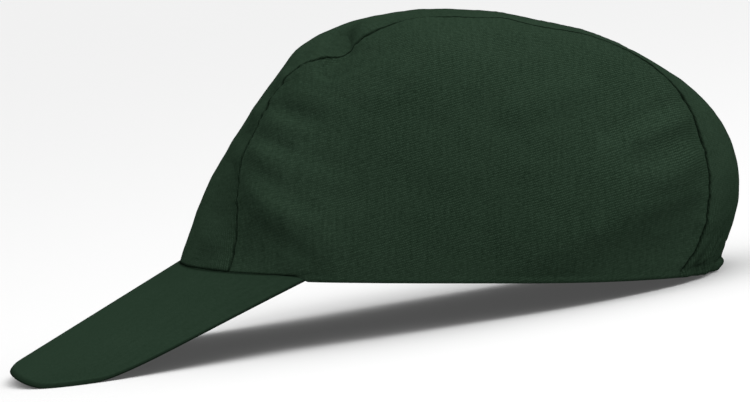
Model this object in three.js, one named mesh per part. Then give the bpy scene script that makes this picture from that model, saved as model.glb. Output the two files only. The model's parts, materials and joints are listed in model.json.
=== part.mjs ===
// A three-panel cloth sports cap: a centre panel that runs from front to rear over the head, two side
// panels, an arched peak, a rolled base edge and a short gathered hem at the back of the neck.
// Millimetres, +Z up. The shapes are worked out in the cap's wearing frame: the base edge lies in
// Z = 0, the peak points along -Y and the wearer's left is +X. The whole cap is then set down as it
// rests by itself, on the two low points of the peak's edge and on the back of the base edge.
import * as THREE from 'three';

// driving dimensions
const baseHalfLength = 102.3;
const baseHalfWidth = 80;
const basePower = 2.5; // the base edge is a superellipse of this power
const wall = 1.6; // doubled cloth
const seamGap = 0.3;
const edgeRoll = { height: 2.5, width: 2.6, inset: 1.1, sides: 8 };
const rearHem = { height: 4.6, width: 4.0, inset: 1.7, sides: 8, gathers: 10, gatherDepth: 0.35 };
const peak = {
  joinX: 73, // half the width of its join with the crown
  joinY: -53.3, // where the join ends
  reach: 113.3, // from the ends of the join to the tip, measured level
  power: 3.6, // its outline is half of a superellipse
  taper: 0.04, // and narrows by this share on the way to the tip
  slope: THREE.MathUtils.degToRad(31.9),
  thickness: 2.3,
  topZ: 2.5,
  bluntEdge: 0.3,
  lastAngle: 0.985, // share of a quarter turn at which the outline meets the join
};
const rearGathers = { waves: 5, depth: 1.1, height: 17 };

// finishes
const clothGreen = { color: 0x25342a, roughness: 0.92, metalness: 0 };
const peakGreen = { color: 0x2b3b30, roughness: 0.88, metalness: 0 };

// Sections of the centre panel from the front of the base over the top to the back: y and z on the
// middle line, then the seam with the left side panel.
const crownRows = [
  { y: -102.3, z: 2.8, seamX: 55.5, seamY: -83.0, seamZ: 2.8 },
  { y: -99.0, z: 14.0, seamX: 53.0, seamY: -80.3, seamZ: 14.0 },
  { y: -93.0, z: 28.5, seamX: 51.5, seamY: -79.8, seamZ: 29.0 },
  { y: -85.5, z: 43.0, seamX: 50.0, seamY: -78.3, seamZ: 43.5 },
  { y: -76.5, z: 57.5, seamX: 49.5, seamY: -71.5, seamZ: 58.0 },
  { y: -67.0, z: 71.0, seamX: 49.0, seamY: -64.2, seamZ: 71.0 },
  { y: -57.0, z: 83.4, seamX: 50.0, seamY: -54.5, seamZ: 79.5 },
  { y: -44.0, z: 90.8, seamX: 51.5, seamY: -42.0, seamZ: 82.8 },
  { y: -31.0, z: 94.9, seamX: 49.0, seamY: -30.0, seamZ: 90.5 },
  { y: -15.0, z: 97.2, seamX: 47.5, seamY: -15.0, seamZ: 96.0 },
  { y: 2.0, z: 97.6, seamX: 47.0, seamY: 2.0, seamZ: 96.6 },
  { y: 20.0, z: 96.0, seamX: 47.0, seamY: 19.0, seamZ: 95.5 },
  { y: 38.0, z: 92.2, seamX: 47.0, seamY: 37.0, seamZ: 92.0 },
  { y: 56.0, z: 86.7, seamX: 47.0, seamY: 54.0, seamZ: 88.0 },
  { y: 73.2, z: 80.0, seamX: 47.0, seamY: 69.0, seamZ: 81.9 },
  { y: 87.3, z: 71.4, seamX: 47.0, seamY: 79.5, seamZ: 73.8 },
  { y: 97.7, z: 62.0, seamX: 47.3, seamY: 87.0, seamZ: 64.5 },
  { y: 104.7, z: 51.6, seamX: 48.5, seamY: 91.8, seamZ: 53.0 },
  { y: 108.8, z: 38.0, seamX: 50.5, seamY: 95.2, seamZ: 39.0 },
  { y: 108.6, z: 24.0, seamX: 51.0, seamY: 95.0, seamZ: 24.5 },
  { y: 104.6, z: 12.5, seamX: 51.5, seamY: 91.5, seamZ: 12.0 },
  { y: 101.6, z: 4.9, seamX: 53.5, seamY: 85.0, seamZ: 2.8 },
];
const lastRow = crownRows.length - 1;
const frontCorner = 6; // rows at which the side panel's upright edges end and its top edge starts
const rearCorner = 15;

// Each rib of a side panel is a Bezier curve from the base edge up to the seam. Its two inner control
// points lie off its ends by these steps, at the panel's front, middle and rear.
const ribs = {
  front: { low: [-3.5, 5, 26], high: [-1, -25.5, -21.5] },
  middle: { low: [4, 0, 40], high: [39, 0, -5] },
  rear: { low: [-2.5, 12, 20], high: [3, 19.5, -16] },
};
const ribSpread = 2.9; // how squarely the swell of the middle rib reaches the ends
const edgeReach = 4; // how fast the ribs take over from the upright edges

// Dents (depth below zero) and folds of a side panel, as strokes in the side view: from and to in
// y and z, half the width, and the depth.
const sideFolds = [
  { from: [-72, 8], to: [-58, 12], width: 11, depth: -2.6 },
  { from: [-74, 34], to: [-46, 14], width: 7, depth: 1.2 },
  { from: [84, 14], to: [58, 6], width: 17, depth: -3.4 },
  { from: [84, 57], to: [61, 43], width: 4.5, depth: 1.5 },
  { from: [80, 48], to: [64, 40], width: 4, depth: -1.4 },
  { from: [48, 70], to: [24, 63], width: 5, depth: 0.9 },
  { from: [-66, 55], to: [-52, 51], width: 3.5, depth: -1.3 },
  { from: [-62, 64], to: [-44, 59], width: 4, depth: 1.1 },
  { from: [-76, 42], to: [-54, 27], width: 4, depth: -1.0 },
];
// The same on the centre panel, with places along its rows and across it from -1 to 1.
const centreFolds = [
  { row: 7.4, across: 0.62, length: 0.9, width: 0.3, depth: -2.2 },
  { row: 7.4, across: -0.62, length: 0.9, width: 0.3, depth: -2.2 },
  { row: 1.7, across: 0.75, length: 1.1, width: 0.22, depth: -1.5 },
  { row: 1.7, across: -0.75, length: 1.1, width: 0.22, depth: -1.5 },
];

// how finely the surfaces are cut
const frontSteps = 14;
const topSteps = 22;
const rearSteps = 14;
const acrossSteps = 16;
const peakSteps = 30;
const rollSteps = 34;
const hemSteps = 40;
const derivativeStep = 1e-4;

const mix = (a, b, share) => a + (b - a) * share;

// Catmull-Rom interpolation of every column of a table at a place between its rows.
function rowAt(rows, place) {
  const start = Math.min(Math.max(Math.floor(place), 0), rows.length - 2);
  const f = place - start;
  const row = {};
  for (const column of Object.keys(rows[0])) {
    const b = rows[start][column];
    const c = rows[start + 1][column];
    const a = start > 0 ? rows[start - 1][column] : 2 * b - c;
    const d = start + 2 < rows.length ? rows[start + 2][column] : 2 * c - b;
    row[column] = b + 0.5 * f * (c - a + f * (2 * a - 5 * b + 4 * c - d + f * (3 * (b - c) + d - a)));
  }
  return row;
}

// A smooth bump: 1 at the middle, 0 from a distance of 1 on.
const bump = (distance) => (distance < 1 ? (1 - distance * distance) ** 2 : 0);

function strokeDistance(y, z, from, to) {
  const dy = to[0] - from[0];
  const dz = to[1] - from[1];
  const share = THREE.MathUtils.clamp(((y - from[0]) * dy + (z - from[1]) * dz) / (dy * dy + dz * dz), 0, 1);
  return Math.hypot(y - from[0] - share * dy, z - from[1] - share * dz);
}

// The unit normal of a surface of two parameters, by central differences.
function normalAt(surface, a, b) {
  const h = derivativeStep;
  const alongA = surface(a + h, b).sub(surface(a - h, b));
  const alongB = surface(a, b + h).sub(surface(a, b - h));
  return alongA.cross(alongB).normalize();
}

// The centre panel: level across its middle and falling towards the seams by a power of the distance.
function centreSurface(place, across) {
  const row = rowAt(crownRows, place);
  const power = 2.2 + 0.5 * Math.abs((2 * place) / lastRow - 1) ** 4;
  const fall = Math.abs(across) ** power;
  return new THREE.Vector3(across * row.seamX, mix(row.y, row.seamY, fall), mix(row.z, row.seamZ, fall));
}

const centreNormal = (place, across) => normalAt(centreSurface, place, across).negate();
const seamPoint = (place) => centreSurface(place, 1);

// The base edge beside the ears, between the two seams.
function sideBase(along) {
  const start = seamPoint(0);
  const end = seamPoint(lastRow);
  const swell = 1 - Math.abs(2 * along - 1) ** ribSpread;
  const point = start.lerp(end, along);
  point.x += (baseHalfWidth - point.x) * swell;
  return point;
}

function ribStep(name, along) {
  const ends = new THREE.Vector3(...ribs.front[name]).lerp(new THREE.Vector3(...ribs.rear[name]), along);
  const middle = new THREE.Vector3(...ribs.middle[name]);
  return ends.lerp(middle, 1 - Math.abs(2 * along - 1) ** ribSpread);
}

function ribPoint(along, up) {
  const top = seamPoint(mix(frontCorner, rearCorner, along));
  const low = sideBase(along);
  const curve = new THREE.CubicBezierCurve3(
    low,
    low.clone().add(ribStep('low', along)),
    top.clone().add(ribStep('high', along)),
    top,
  );
  return curve.getPoint(up);
}

// The left side panel: ribs, drawn over to the upright seams near its front and rear edges.
function sideSurface(along, up) {
  const point = ribPoint(along, up);
  const frontMiss = seamPoint(frontCorner * up).sub(ribPoint(0, up));
  const rearMiss = seamPoint(lastRow - (lastRow - rearCorner) * up).sub(ribPoint(1, up));
  point.addScaledVector(frontMiss, Math.max(1 - along, 0) ** edgeReach);
  return point.addScaledVector(rearMiss, Math.max(along, 0) ** edgeReach);
}

// Where a place along the seam lies on the side panel.
function sidePlace(place) {
  if (place <= frontCorner) return [0, place / frontCorner];
  if (place >= rearCorner) return [1, (lastRow - place) / (lastRow - rearCorner)];
  return [(place - frontCorner) / (rearCorner - frontCorner), 1];
}

// Both panels turn in along the same direction at the seam, so that their edges meet face to face.
function seamNormal(place) {
  const ofSide = normalAt(sideSurface, ...sidePlace(place));
  return ofSide.add(centreNormal(place, 1)).normalize();
}

function sideRelief(point, along, up) {
  const free = (1 - Math.abs(2 * along - 1) ** 14) * (1 - up ** 14) * (1 - (1 - up) ** 10);
  let relief = 0;
  for (const fold of sideFolds) {
    relief += fold.depth * bump(strokeDistance(point.y, point.z, fold.from, fold.to) / fold.width);
  }
  return relief * free;
}

function centreRelief(point, place, across) {
  const free = 1 - across ** 14;
  let relief = 0;
  for (const fold of centreFolds) {
    relief += fold.depth * bump(Math.hypot((place - fold.row) / fold.length, (across - fold.across) / fold.width));
  }
  if (point.y > 0) {
    const rise = Math.max(1 - point.z / rearGathers.height, 0);
    relief += rearGathers.depth * rise * Math.cos(2 * Math.PI * rearGathers.waves * across);
  }
  return relief * free;
}

// A closed solid from an outer and an inner grid of points, joined along their four edges.
function shell(outer, inner) {
  const rows = outer.length;
  const columns = outer[0].length;
  const positions = [...outer.flat(), ...inner.flat()].flatMap((point) => point.toArray());
  const index = [];
  const quad = (a, b, c, d) => index.push(a, b, c, a, c, d);
  const inside = rows * columns;
  for (let i = 0; i + 1 < rows; i += 1) {
    for (let j = 0; j + 1 < columns; j += 1) {
      const a = i * columns + j;
      quad(a, a + columns, a + columns + 1, a + 1);
      quad(inside + a, inside + a + 1, inside + a + columns + 1, inside + a + columns);
    }
  }
  for (let i = 0; i + 1 < rows; i += 1) {
    const first = i * columns;
    const last = first + columns - 1;
    quad(first, inside + first, inside + first + columns, first + columns);
    quad(last, last + columns, inside + last + columns, inside + last);
  }
  for (let j = 0; j + 1 < columns; j += 1) {
    const end = (rows - 1) * columns + j;
    quad(j, j + 1, inside + j + 1, inside + j);
    quad(end, inside + end, inside + end + 1, end + 1);
  }
  return facingOut(positions, index);
}

// A closed tube from rings of points, with a fan over each end.
function tube(rings) {
  const sides = rings[0].length;
  const middles = [rings[0], rings.at(-1)].map((ring) =>
    ring.reduce((sum, point) => sum.add(point), new THREE.Vector3()).divideScalar(sides));
  const positions = [...rings.flat(), ...middles].flatMap((point) => point.toArray());
  const index = [];
  for (let i = 0; i + 1 < rings.length; i += 1) {
    for (let j = 0; j < sides; j += 1) {
      const a = i * sides + j;
      const b = i * sides + ((j + 1) % sides);
      index.push(a, b, b + sides, a, b + sides, a + sides);
    }
  }
  const end = (rings.length - 1) * sides;
  const cap = rings.length * sides;
  for (let j = 0; j < sides; j += 1) {
    const next = (j + 1) % sides;
    index.push(cap, next, j, cap + 1, end + j, end + next);
  }
  return facingOut(positions, index);
}

// Turns the faces over where the volume that they enclose comes out below zero.
function facingOut(positions, index) {
  const corner = (i) => new THREE.Vector3().fromArray(positions, 3 * index[i]);
  let volume = 0;
  for (let i = 0; i < index.length; i += 3) volume += corner(i).dot(corner(i + 1).cross(corner(i + 2)));
  if (volume < 0) index.reverse();
  const geometry = new THREE.BufferGeometry();
  geometry.setAttribute('position', new THREE.Float32BufferAttribute(positions, 3));
  geometry.setIndex(index);
  geometry.computeVertexNormals();
  return geometry;
}

const steps = (count, from, to) => Array.from({ length: count + 1 }, (_, i) => mix(from, to, i / count));

function centrePanel() {
  const places = [
    ...steps(frontSteps, 0, frontCorner),
    ...steps(topSteps, frontCorner, rearCorner).slice(1),
    ...steps(rearSteps, rearCorner, lastRow).slice(1),
  ];
  const outer = [];
  const inner = [];
  for (const place of places) {
    const edge = 1 - seamGap / 2 / seamPoint(place).x;
    const acrosses = steps(acrossSteps, -edge, edge);
    const seamDirection = seamNormal(place);
    const outerRow = [];
    const innerRow = [];
    for (const across of acrosses) {
      const normal = centreNormal(place, across);
      if (Math.abs(across) === edge) normal.set(Math.sign(across) * seamDirection.x, seamDirection.y, seamDirection.z);
      const point = centreSurface(place, across);
      point.addScaledVector(normal, centreRelief(point, place, across));
      outerRow.push(point);
      innerRow.push(keepAbove(point.clone().addScaledVector(normal, -wall), point, place));
    }
    outer.push(outerRow);
    inner.push(innerRow);
  }
  return shell(outer, inner);
}

// The cut edge at the base stays level, whichever way the wall leans there.
function keepAbove(innerPoint, outerPoint, place) {
  if (place === 0 || place === lastRow) innerPoint.z = outerPoint.z;
  return innerPoint;
}

function sidePanel(side) {
  const inset = 0.5 * seamGap / 170;
  const insetUp = 0.5 * seamGap / 95;
  const outer = [];
  const inner = [];
  for (const along of steps(topSteps, 0, 1)) {
    const outerRow = [];
    const innerRow = [];
    for (const up of steps(frontSteps, 0, 1)) {
      const a = THREE.MathUtils.clamp(along, inset, 1 - inset);
      const b = Math.min(up, 1 - insetUp);
      const point = sideSurface(a, b);
      const normal = normalAt(sideSurface, a, b);
      if (along === 0) normal.copy(seamNormal(frontCorner * up));
      else if (along === 1) normal.copy(seamNormal(lastRow - (lastRow - rearCorner) * up));
      else if (up === 1) normal.copy(seamNormal(mix(frontCorner, rearCorner, along)));
      point.addScaledVector(normal, sideRelief(point, along, up));
      const innerPoint = point.clone().addScaledVector(normal, -wall);
      if (up === 0) innerPoint.z = point.z;
      for (const each of [point, innerPoint]) each.x *= side;
      outerRow.push(point);
      innerRow.push(innerPoint);
    }
    outer.push(outerRow);
    inner.push(innerRow);
  }
  return shell(outer, inner);
}

// The front half of the base edge at a lateral place.
const baseFrontY = (x) => -baseHalfLength * (1 - Math.abs(x / baseHalfWidth) ** basePower) ** (1 / basePower);

// The peak's upper surface hangs from the base edge on parallel lines that slope down to the front.
function peakHeight(x, y) {
  return peak.topZ - Math.tan(peak.slope) * Math.max(baseFrontY(x) - y, 0);
}

function peakPlan(angle, out) {
  const turn = (angle * Math.PI) / 2;
  const ahead = Math.cos(turn) ** (2 / peak.power);
  const aside = Math.sign(turn) * Math.abs(Math.sin(turn)) ** (2 / peak.power);
  const x = peak.joinX * aside * (1 - peak.taper * ahead);
  const tipY = peak.joinY - peak.reach * ahead;
  return [x, mix(baseFrontY(x) + wall, tipY, out)];
}

function peakSurface(angle, out) {
  const [x, y] = peakPlan(angle, out);
  return new THREE.Vector3(x, y, peakHeight(x, y));
}

function peakBoard() {
  const half = peak.thickness / 2;
  const upper = [];
  const lower = [];
  const down = new THREE.Vector3(0, -Math.sin(peak.slope), -Math.cos(peak.slope));
  for (const angle of steps(peakSteps, -peak.lastAngle, peak.lastAngle)) {
    const length = peakSurface(angle, 0).distanceTo(peakSurface(angle, 1));
    const fromEdge = [0, 0.12, 0.5, 1].map((share) => (share * half) / length);
    const outs = [0, wall / length, 0.25, 0.5, 0.75, 0.9].filter((out) => out < 1 - 2 * fromEdge[3]);
    while (outs.length < 6) outs.push(mix(outs.at(-1), 1 - fromEdge[3], 0.4));
    outs.push(...fromEdge.reverse().map((share) => 1 - share));
    const upperRow = [];
    const lowerRow = [];
    for (const out of outs) {
      const round = THREE.MathUtils.clamp(((1 - out) * length) / half, 0, 1);
      const swell = Math.max(half * Math.sqrt(1 - (1 - round) ** 2), peak.bluntEdge);
      const point = peakSurface(angle, out);
      upperRow.push(point.clone().addScaledVector(down, half - swell));
      lowerRow.push(point.clone().addScaledVector(down, half + swell));
    }
    upper.push(upperRow);
    lower.push(lowerRow);
  }
  return shell(upper, lower);
}

// An elliptic roll under the base edge: the path gives points on the edge, and the ring is set in
// from there by inset, towards the middle of the head.
function roll(path, shapeAt, sides) {
  const rings = path.map((point, i) => {
    const ahead = path[Math.min(i + 1, path.length - 1)];
    const behind = path[Math.max(i - 1, 0)];
    const run = ahead.clone().sub(behind).setZ(0).normalize();
    const outward = new THREE.Vector3(run.y, -run.x, 0);
    if (outward.dot(point) < 0) outward.negate();
    const { height, width, inset } = shapeAt(i / (path.length - 1));
    return Array.from({ length: sides }, (_, k) => {
      const turn = (2 * Math.PI * (k + 0.5)) / sides;
      const reach = -inset + (width / 2) * Math.cos(turn);
      const ringPoint = point.clone().addScaledVector(outward, reach);
      ringPoint.z = (height / 2) * (1 + Math.sin(turn) / Math.sin(Math.PI / 2 - Math.PI / sides));
      return ringPoint;
    });
  });
  return tube(rings);
}

function sideRoll(side) {
  const path = [];
  for (const along of steps(rollSteps, 0, 1)) {
    const point = sideBase(mix(rollStart(), 1 - seamGap / 170, along));
    point.x *= side;
    path.push(point);
  }
  return roll(path, () => edgeRoll, edgeRoll.sides);
}

// The share of the side panel's base at which the peak's join ends.
function rollStart() {
  const start = seamPoint(0).y;
  const end = seamPoint(lastRow).y;
  return (peak.joinY + 1 - start) / (end - start);
}

function gatheredHem() {
  const edge = 1 - seamGap / seamPoint(lastRow).x;
  const path = steps(hemSteps, -edge, edge).map((across) => centreSurface(lastRow, across));
  const shapeAt = (share) => {
    const across = Math.abs(2 * share - 1);
    const wave = rearHem.gatherDepth * Math.cos(2 * Math.PI * rearHem.gathers * share);
    const height = rearHem.height - (rearHem.height - edgeRoll.height) * across ** 2.7;
    return { height, width: rearHem.width + wave, inset: rearHem.inset - wave / 2 };
  };
  return roll(path, shapeAt, rearHem.sides);
}

function piece(name, geometry, finish) {
  const mesh = new THREE.Mesh(geometry, new THREE.MeshStandardMaterial(finish));
  mesh.name = name;
  return mesh;
}

const cap = new THREE.Group();
cap.add(
  piece('centre_panel', centrePanel(), clothGreen),
  piece('side_panel_left', sidePanel(1), clothGreen),
  piece('side_panel_right', sidePanel(-1), clothGreen),
  piece('peak', peakBoard(), peakGreen),
  piece('edge_roll_left', sideRoll(1), clothGreen),
  piece('edge_roll_right', sideRoll(-1), clothGreen),
  piece('rear_hem', gatheredHem(), clothGreen),
);

// How high the lowest of some points lies when the cap is tilted nose up.
const lowest = (points, tilt) =>
  Math.min(...points.map((point) => point.z * Math.cos(tilt) - point.y * Math.sin(tilt)));

// Sets the cap down: tilted until the peak and the back of the base are equally low, with the middle
// of its outer box over the origin and its lowest points at Z = 0.
function setDown(group) {
  const points = [];
  for (const mesh of group.children) {
    const position = mesh.geometry.getAttribute('position');
    for (let i = 0; i < position.count; i += 1) points.push(new THREE.Vector3().fromBufferAttribute(position, i));
  }
  const ahead = points.filter((point) => point.y < 0);
  const behind = points.filter((point) => point.y >= 0);
  let flat = 0;
  let steep = Math.PI / 6;
  for (let i = 0; i < 40; i += 1) {
    const tilt = (flat + steep) / 2;
    if (lowest(ahead, tilt) < lowest(behind, tilt)) flat = tilt;
    else steep = tilt;
  }
  group.rotation.x = -flat;
  group.updateMatrixWorld(true);
  const box = new THREE.Box3().setFromPoints(points.map((point) => point.applyMatrix4(group.matrixWorld)));
  group.position.set(0, -(box.min.y + box.max.y) / 2, -box.min.z);
}

setDown(cap);
export default cap;
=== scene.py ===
import json
import math
import bpy
import numpy as np
from mathutils import Matrix, Vector


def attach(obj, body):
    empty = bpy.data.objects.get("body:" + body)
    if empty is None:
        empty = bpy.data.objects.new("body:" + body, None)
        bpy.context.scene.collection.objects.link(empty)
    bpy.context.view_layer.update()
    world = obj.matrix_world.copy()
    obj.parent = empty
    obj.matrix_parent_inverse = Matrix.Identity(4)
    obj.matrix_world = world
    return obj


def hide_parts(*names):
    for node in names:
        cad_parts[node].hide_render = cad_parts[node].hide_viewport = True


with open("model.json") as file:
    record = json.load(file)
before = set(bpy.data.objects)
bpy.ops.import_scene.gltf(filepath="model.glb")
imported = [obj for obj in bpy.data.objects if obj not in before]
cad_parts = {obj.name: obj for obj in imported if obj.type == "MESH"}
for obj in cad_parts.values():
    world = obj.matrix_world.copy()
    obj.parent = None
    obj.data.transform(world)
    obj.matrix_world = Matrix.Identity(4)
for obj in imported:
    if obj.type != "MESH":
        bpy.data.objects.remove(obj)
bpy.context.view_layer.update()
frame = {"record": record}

mm = 0.001
turn = 2 * math.pi

# The crown in its wearing frame, in millimetres: base edge in z = 0, peak towards -y, left ear at +x.
crown = {
    "baseHalfLength": 102.3,
    "baseHalfWidth": 80.0,
    "basePower": 2.5,
    "wall": 1.3,
    # how much wider the strip is than up to the seam, as a share, so that the walls lap
    "seamLap": 0.001,
    # how the strip bends down across: a power, and how much more of it at the strip's two ends
    "stripPower": 2.2,
    "endPower": 0.5,
    # sections from the front of the base over the top to the back: y and z of the middle line, and x, y
    # and z of the seam
    "rows": (
        (-102.3, 2.8, 55.5, -83.0, 2.8),
        (-99.0, 14.0, 53.0, -80.3, 14.0),
        (-93.0, 28.5, 51.5, -79.8, 29.0),
        (-85.5, 43.0, 50.0, -78.3, 43.5),
        (-76.5, 57.5, 49.5, -71.5, 58.0),
        (-67.0, 71.0, 49.0, -64.2, 71.0),
        (-57.0, 83.4, 50.0, -54.5, 79.5),
        (-44.0, 90.8, 51.5, -42.0, 82.8),
        (-31.0, 94.9, 49.0, -30.0, 90.5),
        (-15.0, 97.2, 47.5, -15.0, 96.0),
        (2.0, 97.6, 47.0, 2.0, 96.6),
        (20.0, 96.0, 47.0, 19.0, 95.5),
        (38.0, 92.2, 47.0, 37.0, 92.0),
        (56.0, 86.7, 47.0, 54.0, 88.0),
        (73.2, 80.0, 47.0, 69.0, 81.9),
        (87.3, 71.4, 47.0, 79.5, 73.8),
        (97.7, 62.0, 47.3, 87.0, 64.5),
        (104.7, 51.6, 48.5, 91.8, 53.0),
        (108.8, 38.0, 50.5, 95.2, 39.0),
        (108.6, 24.0, 51.0, 95.0, 24.5),
        (104.6, 12.5, 51.5, 91.5, 12.0),
        (101.6, 4.9, 53.5, 85.0, 2.8),
    ),
    "frontCorner": 6,
    "rearCorner": 15,
    # steps from the ends of a side panel's rib to its two inner control points
    "ribLow": ((-3.5, 5, 26), (4, 0, 40), (-2.5, 12, 20)),
    "ribHigh": ((-1, -25.5, -21.5), (39, 0, -5), (3, 19.5, -16)),
    "ribSpread": 2.9,
    "edgeReach": 4,
}
crownRows = np.array(crown["rows"])
lastRow = len(crownRows) - 1

# Where the wearing frame lies: the opening's mount holds the middle of the base and its normal.
opening = next(m for m in frame["record"]["mounts"] if m["name"] == "head_opening")
restTilt = math.atan2(opening["axis"][1], -opening["axis"][2])
restPlace = np.array(opening["pos_m"])


# Turns wearing-frame points nose up about x and moves them to the frame's place, in metres.
def settle(points):
    c, s = math.cos(restTilt), math.sin(restTilt)
    x, y, z = np.moveaxis(np.asarray(points, float) * mm, -1, 0)
    return np.stack([x, c * y - s * z, s * y + c * z], -1) + restPlace


# From a at a share of 0 straight to b at 1.
def mix(a, b, share):
    return a + (b - a) * share


# Catmull-Rom interpolation of the table's columns at places between its rows.
def rowsAt(place):
    place = np.asarray(place, float)
    start = np.clip(np.floor(place).astype(int), 0, lastRow - 1)
    f = (place - start)[..., None]
    longer = np.vstack([2 * crownRows[0] - crownRows[1], crownRows, 2 * crownRows[-1] - crownRows[-2]])
    a, b, c, d = (longer[start + k] for k in range(4))
    return b + 0.5 * f * (c - a + f * (2 * a - 5 * b + 4 * c - d + f * (3 * (b - c) + d - a)))


# A wandering line: a sum of sines with seeded lengths and phases, about -1 to 1.
def wander(s, shortest, longest, seed, count=7):
    rng = np.random.default_rng(seed)
    lengths = np.geomspace(shortest, longest, count) * rng.uniform(0.85, 1.18, count)
    phases = rng.uniform(0, turn, count)
    total = sum(np.sin(turn * s / length + phase) for length, phase in zip(lengths, phases))
    return total / math.sqrt(count)


# Length along the seam, in millimetres, at places between the rows.
seamPlaces = np.linspace(0, lastRow, 1200)
seamTrack = rowsAt(seamPlaces)[:, 2:5]
seamSteps = np.linalg.norm(np.diff(seamTrack, axis=0), axis=-1)
seamLengths = np.concatenate([[0], np.cumsum(seamSteps)])


def seamRun(place):
    return np.interp(place, seamPlaces, seamLengths)


# Sideways pull of the stitches near a seam, across its line in the side view: seeded short waves and a few
# kinks.
seamPull = {
    "reach": 0.13,
    "short": 2.2,
    "long": 12.0,
    "seed": 6,
    "fade": 2.6,
    "kinkFade": 8,
    "endFade": 12,
    "rightShare": 0.3,
    # places along the seam where the stitches are more or less uneven
    "moreAt": (0, 2, 3, 6.5, 8, 21),
    "more": (0.8, 1, 1.7, 1.7, 0.9, 0.9),
    # row, half length in rows, height
    "kinks": (
        (6.6, 0.45, 0.35),
        (7.2, 0.35, -1.1),
        (11.0, 0.35, 0.8),
        (12.6, 0.6, 0.9),
        (13.4, 0.5, 0.4),
    ),
}
seamHeading = np.gradient(seamTrack[:, 1:], axis=0)
seamHeading /= np.linalg.norm(seamHeading, axis=-1, keepdims=True)


# The pull goes square to the seam's heading in the side view, and fades with the distance from the seam.
def seamPullAt(place, distance, kinkShare):
    headY, headZ = (np.interp(place, seamPlaces, seamHeading[:, k]) for k in (0, 1))
    run = seamRun(place)
    pull = seamPull["reach"] * wander(run, seamPull["short"], seamPull["long"], seamPull["seed"])
    pull = pull * np.interp(place, seamPull["moreAt"], seamPull["more"])
    pull = pull * np.clip(np.minimum(run, seamLengths[-1] - run) / seamPull["endFade"], 0, 1)
    near = np.exp(-distance / seamPull["fade"])
    total = pull * near
    for row, half, height in seamPull["kinks"]:
        kink = height * np.exp(-((place - row) / half) ** 2)
        total = total + kinkShare * kink * np.exp(-distance / seamPull["kinkFade"])
    return np.stack([0 * total, -total * headZ, total * headY], -1)


# Centre panel: x runs across, y and z fall from the middle line to the seam by a power of the distance,
# which is higher near the panel's two ends.
def centreSurface(place, across):
    y, z, seamX, seamY, seamZ = np.moveaxis(rowsAt(place), -1, 0)
    power = crown["stripPower"] + crown["endPower"] * np.abs(2 * place / lastRow - 1) ** 4
    fall = np.abs(across) ** power
    return np.stack([across * seamX, mix(y, seamY, fall), mix(z, seamZ, fall)], -1)


# The seam's point at a place between the rows.
def seamPoint(place):
    return rowsAt(place)[..., 2:5]


# From the first step straight to the last one, swelling to the middle one in between.
def blend3(ends, along):
    first, middle, last = (np.array(v, float) for v in ends)
    swell = (1 - np.abs(2 * along - 1) ** crown["ribSpread"])[..., None]
    between = mix(first, last, along[..., None])
    return mix(between, middle, swell)


# Base edge of a side panel: from one seam to the other, swelling out to the base's half width.
def sideBase(along):
    start, end = seamPoint(0.0), seamPoint(float(lastRow))
    point = mix(start, end, along[..., None])
    swell = 1 - np.abs(2 * along - 1) ** crown["ribSpread"]
    point[..., 0] += (crown["baseHalfWidth"] - point[..., 0]) * swell
    return point


# A rib of the side panel: a cubic Bezier curve from the base edge up to the top seam.
def ribPoint(along, up):
    low = sideBase(along)
    top = seamPoint(mix(crown["frontCorner"], crown["rearCorner"], along))
    lowHand = low + blend3(crown["ribLow"], along)
    highHand = top + blend3(crown["ribHigh"], along)
    t = up[..., None]
    s = 1 - t
    return low * s ** 3 + 3 * lowHand * t * s ** 2 + 3 * highHand * t ** 2 * s + top * t ** 3


# Side panel: the ribs, drawn over to the upright seams near its front and rear edges.
def sideSurface(along, up):
    zero, one = np.zeros_like(along), np.ones_like(along)
    frontMiss = seamPoint(crown["frontCorner"] * up) - ribPoint(zero, up)
    rearMiss = seamPoint(lastRow - (lastRow - crown["rearCorner"]) * up) - ribPoint(one, up)
    near = np.maximum(1 - along, 0)[..., None] ** crown["edgeReach"]
    far = np.maximum(along, 0)[..., None] ** crown["edgeReach"]
    return ribPoint(along, up) + frontMiss * near + rearMiss * far


# Unit normals of a two-parameter surface by central differences.
def normalsOf(surface, a, b, sign):
    h = 1e-4
    n = np.cross(surface(a + h, b) - surface(a - h, b), surface(a, b + h) - surface(a, b - h))
    return sign * n / np.linalg.norm(n, axis=-1, keepdims=True)


# 1 at the middle, 0 from a distance of 1 on.
def bump(distance):
    return np.where(distance < 1, (1 - np.minimum(distance, 1) ** 2) ** 2, 0)


# How near points are to a stroke in the side view, from 1 on it to 0 at its half width; it may fade and
# narrow towards its end.
def strokeNear(y, z, start, end, width, fade=0):
    dy, dz = end[0] - start[0], end[1] - start[1]
    share = np.clip(((y - start[0]) * dy + (z - start[1]) * dz) / (dy * dy + dz * dz), 0, 1)
    far = np.hypot(y - start[0] - share * dy, z - start[1] - share * dz)
    return bump(np.hypot(far / width, fade * share))


# Gentle unevenness of a surface, about -1 to 1: a sum of seeded plane waves round one heading.
def ripple(a, b, shortest, longest, seed, heading=0.0, spread=1.2, count=14):
    rng = np.random.default_rng(seed)
    lengths = rng.uniform(shortest, longest, count)
    angles = heading + rng.normal(0, spread, count)
    phases = rng.uniform(0, turn, count)
    waves = (np.sin(turn * (a * math.cos(t) + b * math.sin(t)) / length + phase)
             for length, t, phase in zip(lengths, angles, phases))
    return sum(waves) / math.sqrt(count)


# Distance along a grid's lines from their first point, in millimetres.
def runOf(points, axis):
    step = np.linalg.norm(np.diff(points, axis=axis), axis=-1)
    pad = [(0, 0), (0, 0)]
    pad[axis] = (1, 0)
    return np.cumsum(np.pad(step, pad), axis=axis)


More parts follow.
